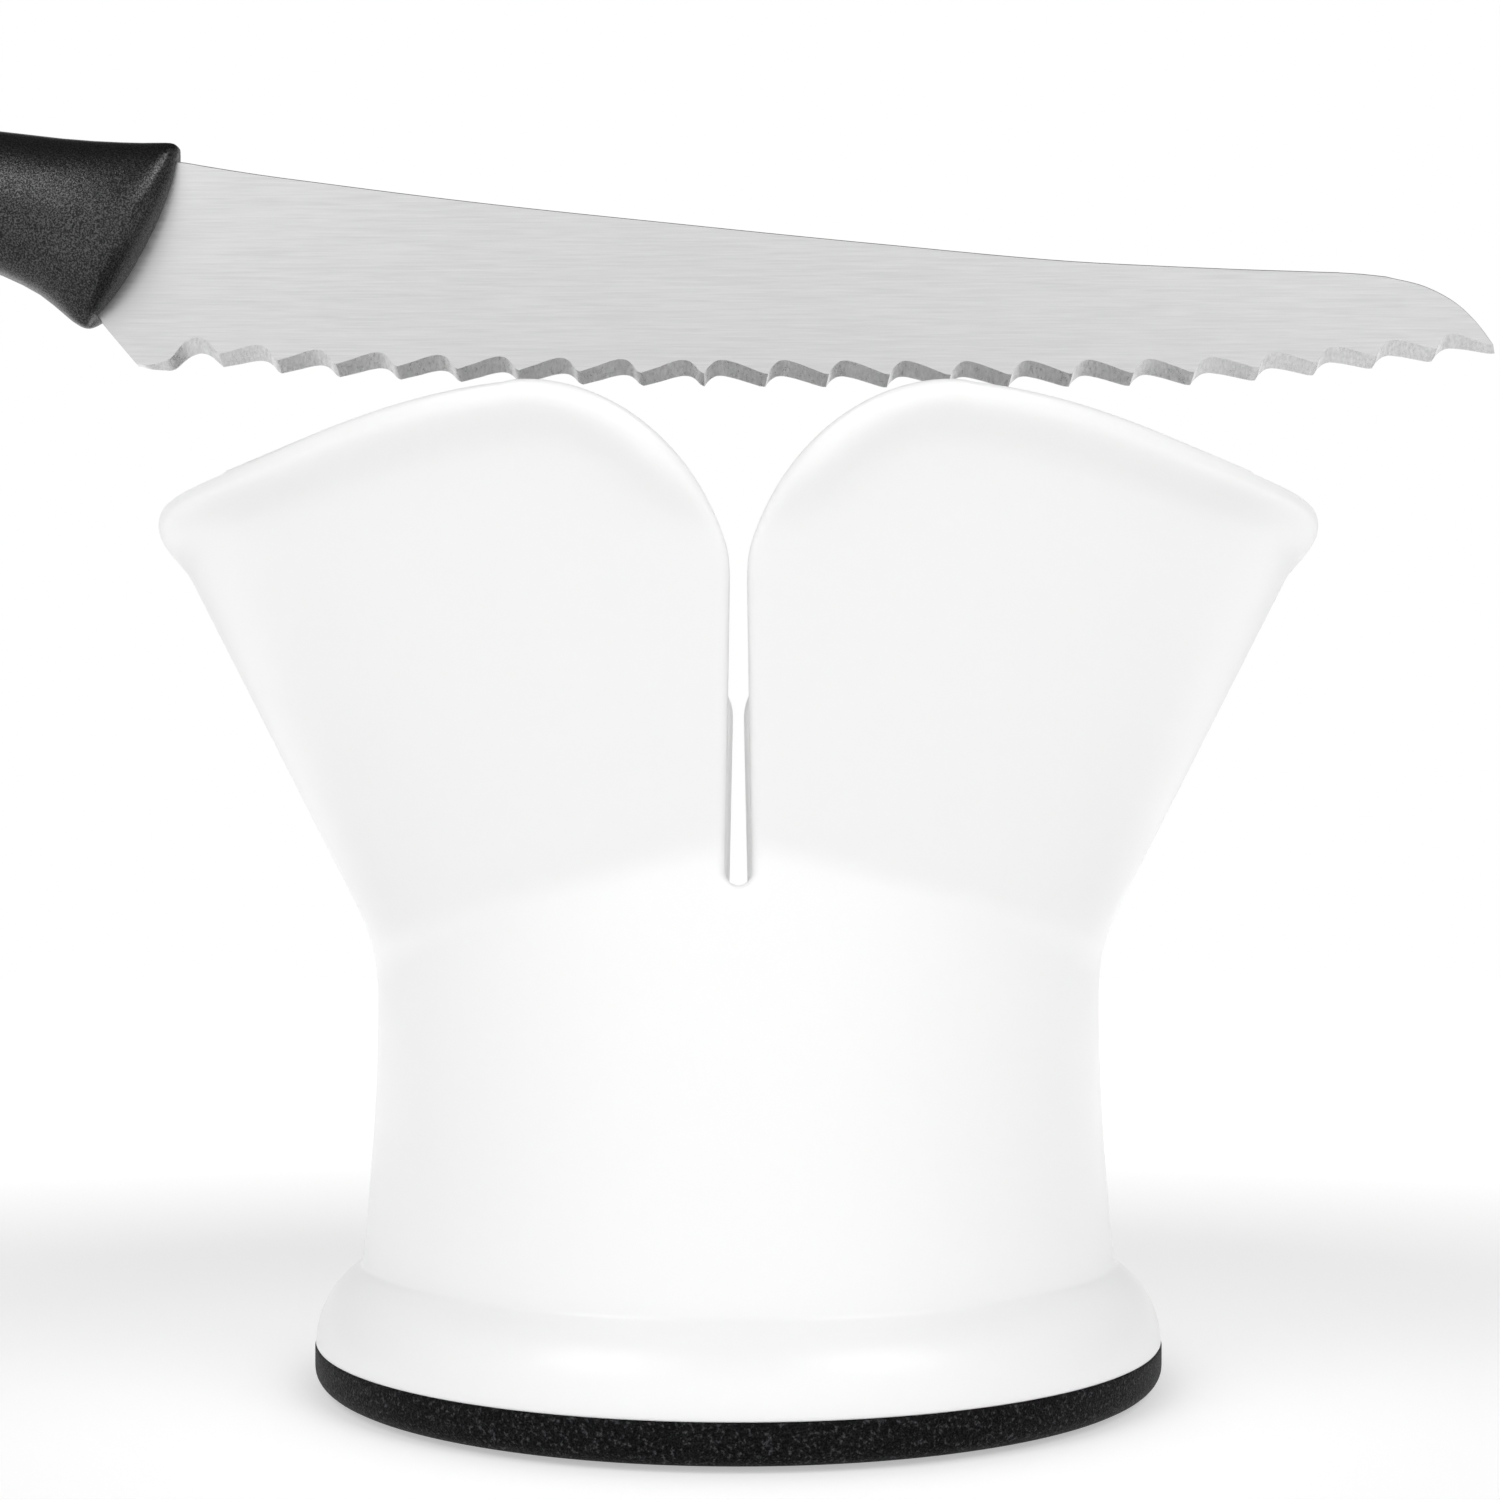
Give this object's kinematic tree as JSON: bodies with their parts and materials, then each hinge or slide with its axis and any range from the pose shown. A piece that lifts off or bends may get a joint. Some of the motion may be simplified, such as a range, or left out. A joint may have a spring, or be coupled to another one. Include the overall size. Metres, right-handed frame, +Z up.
{
  "type": "bagel slicer",
  "caption": "Flared slotted bagel holder on a black non-slip base, with a serrated knife that its slots guide down through the bagel.",
  "frame": {"origin": "centre of the underside of the non-slip pad that the holder stands on", "axes": "+Z up; +X along the knife from handle to tip; -Y is the side that the picture shows"},
  "size_m": [0.2796, 0.1306, 0.1563],
  "materials": {
    "shell": "satin milky white",
    "base": "fine spark-eroded texture",
    "pad": "soft matt",
    "weight": "plain sheet steel",
    "screws": "plain",
    "blade": "lengthwise grain",
    "handle": "fine grain"
  },
  "bodies": {
    "holder": {"body_shell": "shell", "base_plate": "base", "non_slip_pad": "pad", "ballast_disc": "weight", "base_screws": "screws"},
    "knife": {"knife_blade": "blade", "knife_handle": "handle"}
  },
  "joints": [
    {"name": "knife_plunge", "type": "slide", "parent": "holder", "child": "knife", "axis": [0, 0, 1], "range_m": [-0.064, 0.04]}
  ]
}
